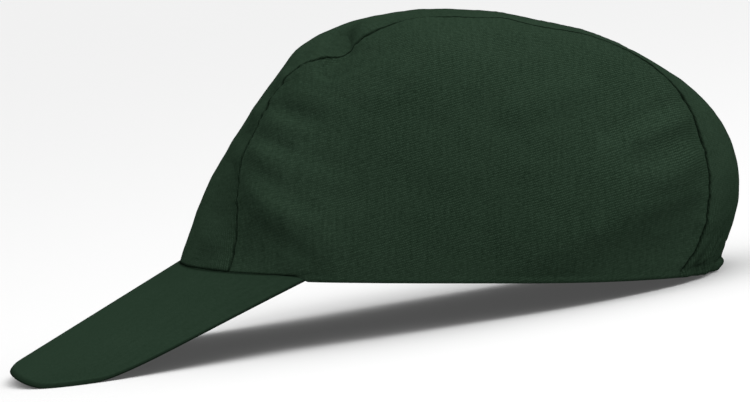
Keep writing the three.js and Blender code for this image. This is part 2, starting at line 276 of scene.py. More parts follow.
# Places from 0 to 1 that crowd towards the ends that have a share of crowding.
def crowded(count, atStart=0.0, atEnd=0.0, closer=9, reach=0.03):
    t = np.linspace(0, 1, count)
    density = 1 + closer * (atStart * np.exp(-t / reach) + atEnd * np.exp(-(1 - t) / reach))
    run = np.concatenate([[0], np.cumsum(1 / density[:-1] * 0.5 + 1 / density[1:] * 0.5)])
    return run / run[-1]


# Puts a closed wall into a mesh: an outer and an inner grid, joined round their edges. An attribute is one
# grid for both walls, or a pair of grids.
def wallMesh(name, outer, inner, flat, attributes=None):
    rows, columns = outer.shape[:2]
    inside = rows * columns
    k = np.arange(inside).reshape(rows, columns)
    a, b, c, d = k[:-1, :-1], k[1:, :-1], k[1:, 1:], k[:-1, 1:]
    quads = [np.stack([a, b, c, d], -1).reshape(-1, 4), np.stack([a, d, c, b], -1).reshape(-1, 4) + inside]
    loop = np.concatenate([k[:, 0], k[-1, 1:], k[-2::-1, -1], k[0, -2:0:-1]])
    after = np.roll(loop, -1)
    quads.append(np.stack([after, loop, loop + inside, after + inside], -1))
    vertices = np.concatenate([outer.reshape(-1, 3), inner.reshape(-1, 3)])
    pairs = {key: v if isinstance(v, tuple) else (v, v) for key, v in (attributes or {}).items()}
    values = {key: np.concatenate([v.ravel() for v in pair]) for key, pair in pairs.items()}
    flats = np.concatenate([flat.reshape(-1, 2), flat.reshape(-1, 2)])
    return putMesh(name, vertices, np.concatenate(quads), flats, values)


# Puts a closed tube into a mesh: rings of points, with a fan over each end.
def tubeMesh(name, rings, flat, attributes=None):
    count, sides = rings.shape[:2]
    k = np.arange(count * sides).reshape(count, sides)
    across = np.roll(k, -1, 1)
    quads = np.stack([k[:-1], across[:-1], across[1:], k[1:]], -1).reshape(-1, 4)
    middles = np.stack([rings[0].mean(0), rings[-1].mean(0)])
    vertices = np.concatenate([rings.reshape(-1, 3), middles])
    flats = np.concatenate([flat.reshape(-1, 2), flat[[0, -1], 0]])
    first, last = count * sides, count * sides + 1
    fans = np.concatenate([
        np.stack([np.full(sides, first), across[0], k[0]], -1),
        np.stack([np.full(sides, last), k[-1], across[-1]], -1),
    ])
    values = {key: np.concatenate([v.ravel(), v[[0, -1], 0]]) for key, v in (attributes or {}).items()}
    return putMesh(name, vertices, quads, flats, values, fans)


# Quads (and triangles) with smooth faces turned out, cloth coordinates in metres and point values.
def putMesh(name, vertices, quads, flats, values, triangles=None):
    vertices = settle(vertices)
    parts = [quads] if triangles is None else [quads, triangles]
    corners = vertices[quads]
    volume = np.einsum("ij,ij->i", corners[:, 0], np.cross(corners[:, 1], corners[:, 2])).sum()
    volume += np.einsum("ij,ij->i", corners[:, 0], np.cross(corners[:, 2], corners[:, 3])).sum()
    if volume < 0:
        parts = [part[:, ::-1] for part in parts]
    index = np.concatenate([part.ravel() for part in parts])
    sizes = np.concatenate([np.full(len(part), part.shape[1]) for part in parts])
    mesh = bpy.data.meshes.new(name)
    mesh.vertices.add(len(vertices))
    mesh.vertices.foreach_set("co", vertices.ravel())
    mesh.loops.add(len(index))
    mesh.loops.foreach_set("vertex_index", index)
    mesh.polygons.add(len(sizes))
    mesh.polygons.foreach_set("loop_start", np.concatenate([[0], np.cumsum(sizes)[:-1]]))
    mesh.polygons.foreach_set("use_smooth", np.ones(len(sizes), bool))
    mesh.update(calc_edges=True)
    mesh.uv_layers.new(name="cloth").data.foreach_set("uv", (flats * mm)[index].ravel())
    for key, value in values.items():
        mesh.attributes.new(key, "FLOAT", "POINT").data.foreach_set("value", value)
    mesh.validate()
    piece = bpy.data.objects.new(name, mesh)
    bpy.context.scene.collection.objects.link(piece)
    return piece


# Dresses a piece, hides the model's nodes that it stands for, and reports it.
def finishPiece(piece, material, slotName, *nodes):
    piece.data.materials.append(material)
    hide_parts(*nodes)
    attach(piece, "root")
    faces = sum(len(p.vertices) - 2 for p in piece.data.polygons)
    print("made", piece.name, faces, "triangles")


# The crown's green twill. Lengths are in metres, as the cloth coordinates are.
twill = {
    "dark": (0.0062, 0.0132, 0.0074, 1),
    "light": (0.0212, 0.0386, 0.0243, 1),
    # colour of the painted shade in seam grooves, creases, gaps and under rounded edges
    "paintedShade": (0.20, 0.22, 0.20, 1),
    "ribPitch": 0.00088,
    "ribAngle": math.radians(17),
    "ribTone": 1.15,
    # a dash's length in metres, and its width in ribs
    "dash": 0.0015,
    "dashRibs": 1.1,
    "threadPitch": 0.00086,
    # how much the threads break the ribs, and show between them
    "threadBreak": 0.6,
    "threadShow": 0.2,
    # the ribs show in patches and dashes (each a factor and an offset of its noise), and a little everywhere
    "patches": (1.6, -0.35),
    "dashes": (2.4, -0.65),
    "leastRib": 0.18,
    # the relief's depth, its strength, and the shares of weave and fuzz in it
    "ribDepth": 0.00016,
    "reliefStrength": 0.9,
    "weaveHeight": 0.5,
    "fuzzHeight": 0.4,
    # scales of the noises: wobble of a thread, drift of the ribs, mottle, fuzz
    "wobbleScale": 800.0,
    "driftScale": 60.0,
    "mottleScale": 16.0,
    "fuzzScale": 2600.0,
    "wobble": 5.6,
    "drift": 9.0,
    "streakWidth": 0.0008,
    "streakLength": 0.014,
    # shares of dashes and streaks in the grain, which lies round a level of its own
    "dashGrain": 1.1,
    "streakGrain": 0.9,
    "grainLevel": 1.5,
    "grain": 0.58,
    "mottle": 0.45,
    "roughness": 0.95,
}
# The peak's cloth is finer and smoother.
peakCloth = dict(twill, dark=(0.0090, 0.0190, 0.0110, 1), light=(0.0172, 0.0322, 0.0204, 1),
                 ribPitch=0.00052, ribDepth=0.00004, ribTone=0.25, grain=0.50, ribAngle=math.radians(50))


# A shader node with its settings, and its inputs linked or set.
def node(tree, kind, inputs=None, **settings):
    made = tree.nodes.new(kind)
    for key, value in settings.items():
        setattr(made, key, value)
    for key, value in (inputs or {}).items():
        if isinstance(value, bpy.types.NodeSocket):
            tree.links.new(value, made.inputs[key])
        else:
            made.inputs[key].default_value = value
    return made


# The output of a maths node on one to three sockets or numbers.
def maths(tree, operation, a, b=None, c=None):
    made = node(tree, "ShaderNodeMath", operation=operation)
    for slotIndex, value in enumerate(v for v in (a, b, c) if v is not None):
        if isinstance(value, bpy.types.NodeSocket):
            tree.links.new(value, made.inputs[slotIndex])
        else:
            made.inputs[slotIndex].default_value = value
    return made.outputs[0]


# The grey output of a noise.
def noise(tree, vector, scale, detail=1.0):
    inputs = {"Vector": vector, "Scale": scale, "Detail": detail, "Roughness": 0.55}
    return node(tree, "ShaderNodeTexNoise", inputs).outputs[0]


# Coordinates for a noise whose grains are as wide and as long as given.
def stretched(tree, vector, across, along):
    return node(tree, "ShaderNodeVectorMath", {0: vector, 1: (1 / across, 1 / along, 0)},
                operation="MULTIPLY").outputs[0]


# Woven cloth on the piece's cloth coordinates: a sine of ribs at an angle, each rib broken into dashes of
# uneven strength, faint streaks of the upright threads, specks, a soft mottle over all, and painted shade.
def clothMaterial(name, cloth):
    material = bpy.data.materials.new(name)
    material.use_nodes = True
    tree = material.node_tree
    tree.nodes.clear()
    uv = node(tree, "ShaderNodeUVMap", uv_map="cloth").outputs[0]
    turned = node(tree, "ShaderNodeVectorRotate", {"Vector": uv, "Angle": -cloth["ribAngle"]},
                  rotation_type="Z_AXIS").outputs[0]
    wobble = noise(tree, uv, cloth["wobbleScale"], 2.0)
    slow = noise(tree, uv, cloth["driftScale"], 3.0)
    broad = noise(tree, uv, cloth["mottleScale"], 2.0)
    fuzz = noise(tree, uv, cloth["fuzzScale"], 2.0)
    dash = noise(tree, stretched(tree, turned, cloth["dash"], cloth["ribPitch"] * cloth["dashRibs"]), 1.0)
    streak = noise(tree, stretched(tree, uv, cloth["streakWidth"], cloth["streakLength"]), 1.0, 2.0)
    split = node(tree, "ShaderNodeSeparateXYZ", {"Vector": turned})
    shift = maths(tree, "MULTIPLY_ADD", wobble, cloth["wobble"], -0.5 * cloth["wobble"])
    drift = maths(tree, "MULTIPLY_ADD", slow, cloth["drift"], shift)
    ribPhase = maths(tree, "MULTIPLY_ADD", split.outputs[1], turn / cloth["ribPitch"], drift)
    rib = maths(tree, "SINE", ribPhase)
    threadPhase = maths(tree, "MULTIPLY_ADD", split.outputs[0], turn / cloth["threadPitch"], shift)
    thread = maths(tree, "SINE", threadPhase)
    showing = node(tree, "ShaderNodeAttribute", attribute_name="ribShow").outputs["Fac"]
    patches = maths(tree, "MULTIPLY_ADD", slow, *cloth["patches"])
    strength = maths(tree, "MULTIPLY", maths(tree, "MULTIPLY_ADD", dash, *cloth["dashes"]), patches)
    strength = maths(tree, "ADD", strength, cloth["leastRib"])
    strength = node(tree, "ShaderNodeClamp", {"Value": strength}).outputs[0]
    strength = maths(tree, "MULTIPLY", strength, showing)
    broken = maths(tree, "MULTIPLY_ADD", thread, cloth["threadBreak"], cloth["threadBreak"])
    floats = maths(tree, "MULTIPLY", rib, broken)
    weave = maths(tree, "MULTIPLY_ADD", thread, cloth["threadShow"], floats)
    weave = maths(tree, "MULTIPLY", weave, strength)
    rough = maths(tree, "MULTIPLY_ADD", streak, cloth["streakGrain"], wobble)
    rough = maths(tree, "MULTIPLY_ADD", dash, cloth["dashGrain"], rough)
    grain = maths(tree, "MULTIPLY_ADD", rough, cloth["grain"], -cloth["grainLevel"] * cloth["grain"])
    cloudy = maths(tree, "MULTIPLY_ADD", broad, cloth["mottle"], 0.5 - cloth["mottle"] / 2)
    even = maths(tree, "MULTIPLY_ADD", weave, cloth["ribTone"], grain)
    tone = maths(tree, "ADD", even, cloudy)
    ramp = node(tree, "ShaderNodeMix", {0: tone, 6: cloth["dark"], 7: cloth["light"]}, data_type="RGBA")
    # painted shade: the piece's shade attribute darkens the colour towards the painted shade colour
    shadeAmount = node(tree, "ShaderNodeAttribute", attribute_name="paintedShadeAmount").outputs["Fac"]
    shaded = node(tree, "ShaderNodeMix", {0: shadeAmount, 6: ramp.outputs[2], 7: cloth["paintedShade"]},
                  data_type="RGBA", blend_type="MULTIPLY")
    height = maths(tree, "MULTIPLY_ADD", weave, cloth["weaveHeight"], grain)
    height = maths(tree, "MULTIPLY_ADD", fuzz, cloth["fuzzHeight"], height)
    relief = node(tree, "ShaderNodeBump", {
        "Height": height,
        "Distance": cloth["ribDepth"],
        "Strength": cloth["reliefStrength"],
    })
    shader = node(tree, "ShaderNodeBsdfPrincipled", {
        "Base Color": shaded.outputs[2],
        "Roughness": cloth["roughness"],
        "Normal": relief.outputs[0],
        "Specular IOR Level": 0.0,
    })
    output = node(tree, "ShaderNodeOutputMaterial")
    tree.links.new(shader.outputs[0], output.inputs[0])
    return material


crownTwill = clothMaterial("crownTwill", twill)
peakTwill = clothMaterial("peakTwill", peakCloth)
edgeTwill = clothMaterial("edgeTwill", twill)

# How a seam looks from outside: a sharp valley with a line of painted shade in it, a small roll on its centre
# side, and puckers.
seam = {
    "valley": 1.0,
    "valleyWidth": 0.42,
    "valleyPower": 1.3,
    "roll": 0.10,
    "rollAt": 1.2,
    "rollWidth": 0.7,
    "pucker": 0.20,
    "puckerReach": 6.0,
    "puckerShort": 5.0,
    "puckerLong": 17.0,
    # how puckered the seam is, at places along it
    "puckerAt": (0, 7, 9, 15, 17, 21),
    "puckers": (1, 1.2, 0.2, 0.2, 1, 1),
    # where the crown bends inwards over the seam, and how far from it both walls lean one way
    "leanAt": (5, 6, 10, 11.5),
    "lean": (0, 1, 1, 0),
    "leanReach": 2.5,
    # half width of the painted shade line in the groove on the side panels and on the strip, at places along
    # the seam
    "lineAt": (0, 4, 6, 9, 15, 18, 21),
    "lineSide": (0.6, 0.6, 0.75, 0.9, 0.9, 0.7, 0.6),
    "lineStrip": (0.6, 0.75, 1.1, 1.6, 2.0, 0.9, 0.65),
    # how strong the painted shade line is on the left: a pucker hides it on top, and it is faint low in front
    "showAt": (0, 2, 5, 8.5, 8.8, 9.4, 9.7, 10.6, 11.2, 21),
    "show": (0.7, 0.7, 1, 1, 0.15, 0.15, 0.9, 0.6, 1, 1),
}


# Small lifts that wander along a seam and fade away from it.
def puckers(place, distance, seed):
    lift = wander(seamRun(place), seam["puckerShort"], seam["puckerLong"], seed)
    lift = lift * np.interp(place, seam["puckerAt"], seam["puckers"])
    return seam["pucker"] * lift * np.exp(-distance / seam["puckerReach"])


# The groove that the stitches draw in: deepest on the seam, and gone a little way off.
def valley(distance):
    return -seam["valley"] * np.exp(-(distance / seam["valleyWidth"]) ** seam["valleyPower"])


# Dents and folds of the side panels, as strokes in the side view.
sideFolds = (
    # start, end, half width, depth, how much it fades towards its end
    ((-74, 6), (-58, 14), 14, -3.0, 0),
    ((-74, 34), (-46, 14), 9, 1.5, 0),
    ((-70, 20), (-52, 8), 5, -0.8, 0),
    ((84, 14), (58, 6), 19, -3.8, 0),
    ((90, 66), (56, 55), 6.5, -1.2, 0.3),
    ((91, 63), (66, 54), 6, 1.4, 0.3),
    ((93, 53), (66, 45), 6.5, -1.9, 0.3),
    ((94, 44), (72, 37.5), 6, 0.9, 0),
    ((97, 27), (74, 23), 6.5, -1.1, 0),
    ((48, 70), (20, 63), 8, 0.9, 0),
    ((-46, 78), (-12, 90), 6.2, -2.4, 0.9),
    ((-30, 68), (-8, 76), 8, 0.7, 0.4),
    ((-74, 53), (-60, 48), 4.8, -1.9, 0.4),
    ((-71, 60), (-55, 55), 4.8, 1.4, 0.4),
    ((-62, 62), (-50, 59), 4.6, -1.0, 0.4),
    ((-57, 68), (-42, 64), 5.5, 1.0, 0.5),
    ((-76, 42), (-52, 27), 6, -1.0, 0),
    ((-72, 47), (-40, 36), 6, 0.7, 0),
)
# Swells of the side panels: the cloth leans out from its base edge up to a line in the side view, and then
# falls back over a longer way.
swells = (
    # line's y, line's z, height
    ((-84, -79, -57, -40, -28), (46, 40, 16, 5, 2), 5.8),
    ((10, 18, 45.5, 62, 91, 96), (2, 5.4, 14.5, 23.6, 42, 48), 7.6),
)
swellShape = {"raise": 1.15, "climbPower": 1.45, "fall": 32, "lowest": 4, "ramp": 16, "seamReach": 12,
              "seamPower": 1.7}


# Up to the line the lean follows a power of the height, above it a bell curve, and it ends at the seams.
def swellAt(y, z, distance):
    shape = swellShape
    total = 0
    for lineY, lineZ, height in swells:
        line = shape["raise"] * np.interp(y, lineY, lineZ)
        share = np.clip(z / line, 0, 1)
        climb = 1 - (1 - share) ** shape["climbPower"]
        after = np.exp(-(np.maximum(z - line, 0) / shape["fall"]) ** 2)
        total = total + height * climb * after * np.clip((line - shape["lowest"]) / shape["ramp"], 0, 1)
    return total * (1 - np.exp(-(distance / shape["seamReach"]) ** shape["seamPower"]))


# Dents and folds of the centre panel, along its rows and across it.
centreFolds = (
    # row, across, half length, half width, depth, share of it on the right side
    (5.8, 0.0, 0.45, 1.30, 0.45, 1.0),
    (7.04, 0.80, 0.54, 0.55, -3.2, 0.25),
    (7.88, 0.76, 0.54, 0.55, 2.1, 0.25),
    (6.45, 0.78, 0.45, 0.35, 0.7, 0.3),
    (8.85, 0.90, 0.30, 0.12, 0.6, 0.3),
    (2.3, 0.72, 1.4, 0.45, -2.6, 1.0),
    (0.9, 0.80, 0.6, 0.25, 0.8, 1.0),
    (3.60, 0.80, 0.34, 0.42, -1.7, 0.2),
    (3.05, 0.80, 0.34, 0.40, 1.1, 0.2),
    (4.20, 0.80, 0.34, 0.42, 1.5, 0.2),
    (4.72, 0.80, 0.34, 0.40, -1.6, 0.2),
    (5.30, 0.80, 0.34, 0.35, 1.0, 0.2),
    (16.2, 0.52, 1.20, 0.36, 0.7, 1.0),
)
# Slanting tucks of the strip above the hem behind: from the hem's height 0 up towards the middle.
rearTucks = (
    # start x and height, end x and height, half width, depth
    ((46, -2), (33, 11), 1.8, -1.7),
    ((38, -2), (30, 6), 1.6, -1.5),
    ((25, -2), (20, 5), 1.5, -0.9),
    ((12, -2), (9, 6), 1.5, -0.8),
)
# Gathers of the strip above the elastic hem: upright waves that fade and spread upwards.
# a gather's hollow deeper than darkFrom gets painted shade
rearGathers = {"depth": 0.75, "startZ": 4.9, "height": 6.5, "short": 4.5, "long": 10.0, "seed": 8,
               "lean": 0.35, "leanOver": 40, "darkFrom": 0.5}
ribShine = {"frontY": -42, "frontBlend": 12, "lowZ": 4, "rearY": 30, "rearRise": 0.5, "lowBlend": 7,
            "least": 0.25}


# Where the ribs of the cloth catch the light, their relief is stronger and their colour contrast is painted
# light: the middle and rear of the side panels, by two smooth steps.
def ribShowAt(y, z):
    shine = ribShine
    ahead = 1 / (1 + np.exp(-(y - shine["frontY"]) / shine["frontBlend"]))
    floorZ = shine["lowZ"] + np.maximum(y - shine["rearY"], 0) * shine["rearRise"]
    low = 1 / (1 + np.exp(-(z - floorZ) / shine["lowBlend"]))
    return shine["least"] + (1 - shine["least"]) * ahead * low


# Below its base line a side panel runs straight down and turns in round a small edge, except over the peak.
turnedEdge = {"radius": 1.5, "tuck": 0.3, "steps": 12, "startY": -57.5, "fullY": -53.6, "bottom": 0.06}
joinHeight = 2.42  # where the crown's cloth ends over the peak


# Steps out, up and the outward normal along the turned edge, from its hidden end to the base line.
def edgeProfile(baseZ):
    radius = turnedEdge["radius"]
    straight = baseZ - turnedEdge["bottom"] - radius
    length = straight + radius * math.pi / 2 + turnedEdge["tuck"]
    s = np.linspace(1, 0, turnedEdge["steps"], endpoint=False) * length[..., None]
    straight = straight[..., None]
    bend = np.clip((s - straight) / radius, 0, math.pi / 2)
    past = np.maximum(s - straight - radius * math.pi / 2, 0)
    out = -radius * (1 - np.cos(bend)) - past
    down = np.minimum(s, straight) + radius * np.sin(bend)
    return out, -down, np.cos(bend), -np.sin(bend)


# The cloth of the turned edge, from the rim's points by steps out and up, and its lining one wall further in.
def edgeWalls(rim, normal, out, rise, level, lean):
    outward = normal * (1, 1, 0)
    outward = outward / np.linalg.norm(outward, axis=-1, keepdims=True)
    upward = np.array([0.0, 0.0, 1.0])
    edge = rim + outward * out[..., None] + upward * rise[..., None]
    lining = edge - (outward * level[..., None] + upward * lean[..., None]) * crown["wall"]
    return edge, lining


strip = {
    "across": 121,
    "along": 300,
    # powers that hold folds and tucks off the seams
    "freePower": 14,
    "tuckPower": 30,
    # rows round this one stay smooth on top
    "stillRow": 10.5,
    "stillHalf": 3,
    "stillBlend": 5,
    # heights of the broad and the fine unevenness
    "broad": 0.28,
    "fine": 0.12,
    # half widths and strengths of the painted shade lines in front and at the hem, and of painted shade in
    # gathers and tucks
    "frontLine": 0.5,
    "hemLine": 0.6,
    "hemShade": 0.55,
    "hemLineTo": 0.60,
    "hemLineOver": 0.15,
    "gatherShade": 0.5,
    "tuckShade": 0.7,
    # share of the half width where the turned edge begins, and over which it comes in
    "edgeFrom": 0.50,
    "edgeOver": 0.14,
    # how far the strip goes down behind the hem, and how strongly its ribs show
    "behindHem": -0.4,
    "ribShow": 0.8,
    # how sharply folds and stitches change from the right half to the left one
    "foldChange": 2.5,
    "stitchChange": 5,
}


# Centre panel's cloth: its surface, lifted along the normals by seams, folds, gathers, tucks and ripples.
def centrePanel():
    settings = strip
    place = np.linspace(0, lastRow, settings["along"])[:, None]
    across = (2 * crowded(settings["across"], 1, 1) - 1)[None, :]
    place, across = np.broadcast_arrays(place, across * (1 + crown["seamLap"]))
    base = centreSurface(place, across)
    normal = normalsOf(centreSurface, place, across, -1)
    fromLeft = runOf(base, 1)
    distance = np.minimum(fromLeft, fromLeft[:, -1:] - fromLeft)
    relief = valley(distance)
    relief = relief + seam["roll"] * np.exp(-((distance - seam["rollAt"]) / seam["rollWidth"]) ** 2)
    relief = relief + puckers(place, distance, 3) * np.where(across > 0, 1, 0)
    relief = relief + puckers(place, distance, 4) * np.where(across > 0, 0, 1)
    free = 1 - np.abs(across) ** settings["freePower"]
    # 1 on the left half, 0 on the right one, with a soft change at the middle
    leftness = np.clip(across * settings["foldChange"] + 0.5, 0, 1)
    for row, middle, length, width, depth, share in centreFolds:
        offset = np.abs(across) - middle
        dent = depth * bump(np.hypot((place - row) / length, offset / width))
        relief = relief + free * mix(share, 1, leftness) * dent
    rise = np.maximum(base[..., 2] - rearGathers["startZ"], 0)
    back = np.where(base[..., 1] > 0, np.exp(-rise / rearGathers["height"]), 0)
    lean = base[..., 0] * (1 + rearGathers["lean"] * rise / rearGathers["leanOver"])
    gathered = wander(lean, rearGathers["short"], rearGathers["long"], rearGathers["seed"])
    relief = relief + free * rearGathers["depth"] * back * gathered
    along = runOf(base, 0)
    tucked = np.zeros(place.shape)
    for start, end, width, depth in rearTucks:
        near = strokeNear(np.abs(base[..., 0]), along[-1:] - along, start, end, width)
        tucked = np.maximum(tucked, near)
        relief = relief + (1 - np.abs(across) ** settings["tuckPower"]) * depth * near
    off = np.abs(place - settings["stillRow"]) - settings["stillHalf"]
    still = np.clip(off / settings["stillBlend"], 0, 1)
    broad = ripple(base[..., 0], along, shortest=14, longest=40, seed=21)
    fine = ripple(base[..., 0], along, shortest=7, longest=16, seed=23)
    relief = relief + free * (settings["broad"] * still * broad + settings["fine"] * fine)
    stitches = np.clip(across * settings["stitchChange"] + 0.5, 0, 1)
    pull = seamPullAt(place, distance, mix(seamPull["rightShare"], 1, stitches))
    outer = base + normal * relief[..., None] + pull
    inner = base - normal * crown["wall"] + pull
    outer[0, :, 2] = inner[0, :, 2] = joinHeight
    inner[-1, :, 2] = outer[-1, :, 2]
    flat = np.stack([along, -base[..., 0]], -1)
    # painted shade: the seam's groove, a shadow line in front over the peak, a line at the hem, and hollows
    # of gathers and tucks
    hemShare = np.clip((settings["hemLineTo"] - np.abs(across)) / settings["hemLineOver"], 0, 1)
    line = np.interp(place, seam["lineAt"], seam["lineStrip"])
    show = mix(1, np.interp(place, seam["showAt"], seam["show"]), leftness)
    paintedShade = show * np.exp(-(distance / line) ** 2)
    paintedShade = np.maximum(paintedShade, np.exp(-(along / settings["frontLine"]) ** 2))
    hemLine = np.exp(-((along[-1:] - along) / settings["hemLine"]) ** 2)
    paintedShade = np.maximum(paintedShade, settings["hemShade"] * hemShare * hemLine)
    hollow = np.clip(-gathered - rearGathers["darkFrom"], 0, 1)
    paintedShade = np.maximum(paintedShade, settings["gatherShade"] * back * free * hollow)
    paintedShade = np.maximum(paintedShade, settings["tuckShade"] * tucked ** 3)
    values = {"ribShow": np.full(place.shape, settings["ribShow"]), "paintedShadeAmount": paintedShade}
    # behind, the strip's ends near the seams run down over the hem
    out, rise, level, lean = edgeProfile(outer[-1, :, 2])
    whole = np.clip((np.abs(across[-1]) - settings["edgeFrom"]) / settings["edgeOver"], 0, 1)[:, None]
    out, rise = (whole * out).T, mix(settings["behindHem"], rise, whole).T
    level, lean = mix(1, level, whole).T, (whole * lean).T
    edge, lining = edgeWalls(outer[-1:], normal[-1:], out, rise, level, lean)
    outer, inner = np.concatenate([outer, edge[::-1]]), np.concatenate([inner, lining[::-1]])
    flat = np.concatenate([flat, np.stack([along[-1:] - rise[::-1], 0 * rise - base[-1:, :, 0]], -1)])
    values["paintedShadeAmount"][-1] *= 1 - whole[:, 0]
    values = {key: np.pad(v, ((0, turnedEdge["steps"]), (0, 0)), mode="edge") for key, v in values.items()}
    piece = wallMesh("centrePanelCloth", outer, inner, flat, values)
    finishPiece(piece, crownTwill, "crown_cloth", "centre_panel")


sideCloth = {
    "along": 190,
    "up": 135,
    # powers that hold folds off the seams, and off the base edge
    "freePower": 24,
    "basePower": 10,
    # share of the folds' depth on the right side
    "rightFolds": 0.35,
    # heights of the broad and the fine unevenness
    "broad": 0.28,
    "fine": 0.11,
    # half width of the painted shadow line over the peak, and how far below the base line it lies
    "peakLine": 0.5,
    "peakLineBelow": 0.4,
}


# A side panel's cloth: its surface, lifted along the normals by seams, folds, ripples and slack.
def sidePanel(side, name, cadNode):
    settings = sideCloth
    along = crowded(settings["along"], 1, 1)[:, None]
    up = crowded(settings["up"], 0.4, 1)[None, :]
    along, up = np.broadcast_arrays(along, up)
    base = sideSurface(along, up)
    normal = normalsOf(sideSurface, along, up, 1)
    acrossRun, upRun = runOf(base, 0), runOf(base, 1)
    front, rear = acrossRun, acrossRun[-1:] - acrossRun
    top = upRun[:, -1:] - upRun
    distance = np.minimum(np.minimum(front, rear), top)
    frontPlace = crown["frontCorner"] * up
    rearPlace = lastRow - (lastRow - crown["rearCorner"]) * up
    topPlace = mix(crown["frontCorner"], crown["rearCorner"], along)
    seed = 3 if side > 0 else 4
    places = np.where(top <= np.minimum(front, rear), topPlace, np.where(front < rear, frontPlace, rearPlace))
    # on top both walls lean one way beside the seam, so that no slit opens in it
    beside = normalsOf(centreSurface, places, np.ones(places.shape), -1)
    lean = np.interp(places, seam["leanAt"], seam["lean"]) * np.exp(-(distance / seam["leanReach"]) ** 2)
    normal = mix(normal, beside, lean[..., None])
    normal = normal / np.linalg.norm(normal, axis=-1, keepdims=True)
    relief = valley(distance) + puckers(places, distance, seed)
    y, z = base[..., 1], base[..., 2]
    free = (1 - np.abs(2 * along - 1) ** settings["freePower"]) * (1 - up ** settings["freePower"])
    free = free * (1 - (1 - up) ** settings["basePower"])
    strength = 1 if side > 0 else settings["rightFolds"]
    for start, end, width, depth, fade in sideFolds:
        relief = relief + strength * free * depth * strokeNear(y, z, start, end, width, fade)
    broad = ripple(y, z, shortest=18, longest=60, seed=31 + seed, heading=1.3, spread=0.5)
    fine = ripple(y, z, shortest=8, longest=20, seed=41 + seed, heading=1.3, spread=0.45)
    relief = relief + free * (settings["broad"] * broad + settings["fine"] * fine)
    relief = relief + swellAt(y, z, distance)
    pull = seamPullAt(places, distance, 1 if side > 0 else seamPull["rightShare"])
    outer = base + normal * relief[..., None] + pull
    inner = base - normal * crown["wall"] + pull
    out, rise, level, lean = edgeProfile(outer[:, 0, 2])
    whole = np.clip((y[:, :1] - turnedEdge["startY"]) / (turnedEdge["fullY"] - turnedEdge["startY"]), 0, 1)
    join = np.maximum(rise, joinHeight - outer[:, :1, 2])
    out, rise = whole * out, mix(join, rise, whole)
    level, lean = mix(1, level, whole), whole * lean
    edge, lining = edgeWalls(outer[:, :1], normal[:, :1], out, rise, level, lean)
    outer, inner = np.concatenate([edge, outer], 1), np.concatenate([lining, inner], 1)
    low = np.concatenate([rise, upRun], 1)
    pad = ((0, 0), (turnedEdge["steps"], 0))
    y, z, distance, places = (np.pad(v, pad, mode="edge") for v in (y, z, distance, places))
    flat = np.stack([side * y, low], -1)
    # painted shade: the seam's groove, and a shadow line where the panel's edge sits over the peak
    line = np.interp(places, seam["lineAt"], seam["lineSide"])
    show = np.interp(places, seam["showAt"], seam["show"]) if side > 0 else 1.0
    paintedShade = show * np.exp(-(distance / line) ** 2)
    peakLine = np.exp(-((low + settings["peakLineBelow"]) / settings["peakLine"]) ** 2)
    paintedShade = np.maximum(paintedShade, (1 - whole) * peakLine)
    values = {"ribShow": ribShowAt(y, z), "paintedShadeAmount": paintedShade}
    outer, inner = outer * (side, 1, 1), inner * (side, 1, 1)
    piece = wallMesh(name, outer, inner, flat, values)
    finishPiece(piece, crownTwill, "crown_cloth", cadNode)


peak = {
    "joinX": 73.5,
    "joinY": -53.3,
    "reach": 113.1,
    "powerAside": 2.16,
    "powerAhead": 7.2,
    "taper": 0.091,
    "slope": math.radians(31.9),
    "thickness": 2.3,
    "topZ": 2.5,
    # the margin under the crown, its share at the ends of the join, and how fast it widens from there
    "margin": 1.6,
    "leastMargin": 0.15,
    "marginRise": 9,
    "leastHalf": 0.02,
    "give": 0.5,
    # half width of the painted shadow line at the root, under the crown's edge
    "rootLine": 0.55,
    "ribShow": 0.5,
    # painted shade of the rounded edge: on its upper half, on its lower half, and how far that runs in below
    "edgeUpper": 0.5,
    "edgeUpperPower": 1.5,
    "edgeLower": 0.8,
    "edgeReach": 1.8,
}


# The base edge in front of the crown, a superellipse.
def baseFrontY(x):
    inside = 1 - np.abs(x / crown["baseHalfWidth"]) ** crown["basePower"]
    return -crown["baseHalfLength"] * inside ** (1 / crown["basePower"])


# Peak: the outline is half a superellipse with a power for each direction; the board hangs from the base
# edge on sloping parallel lines.
def peakSurface(angle, out):
    quarter = angle * math.pi / 2
    ahead = np.cos(quarter) ** (2 / peak["powerAhead"])
    aside = np.sign(quarter) * np.abs(np.sin(quarter)) ** (2 / peak["powerAside"])
    x = peak["joinX"] * aside * (1 - peak["taper"] * ahead)
    edgeY = baseFrontY(x)
    margin = peak["margin"] * np.clip(peak["leastMargin"] + peak["marginRise"] * ahead, 0, 1)
    y = mix(edgeY + margin, peak["joinY"] - peak["reach"] * ahead, out)
    z = peak["topZ"] - math.tan(peak["slope"]) * np.maximum(edgeY - y, 0)
    return np.stack([x, y, z], -1)


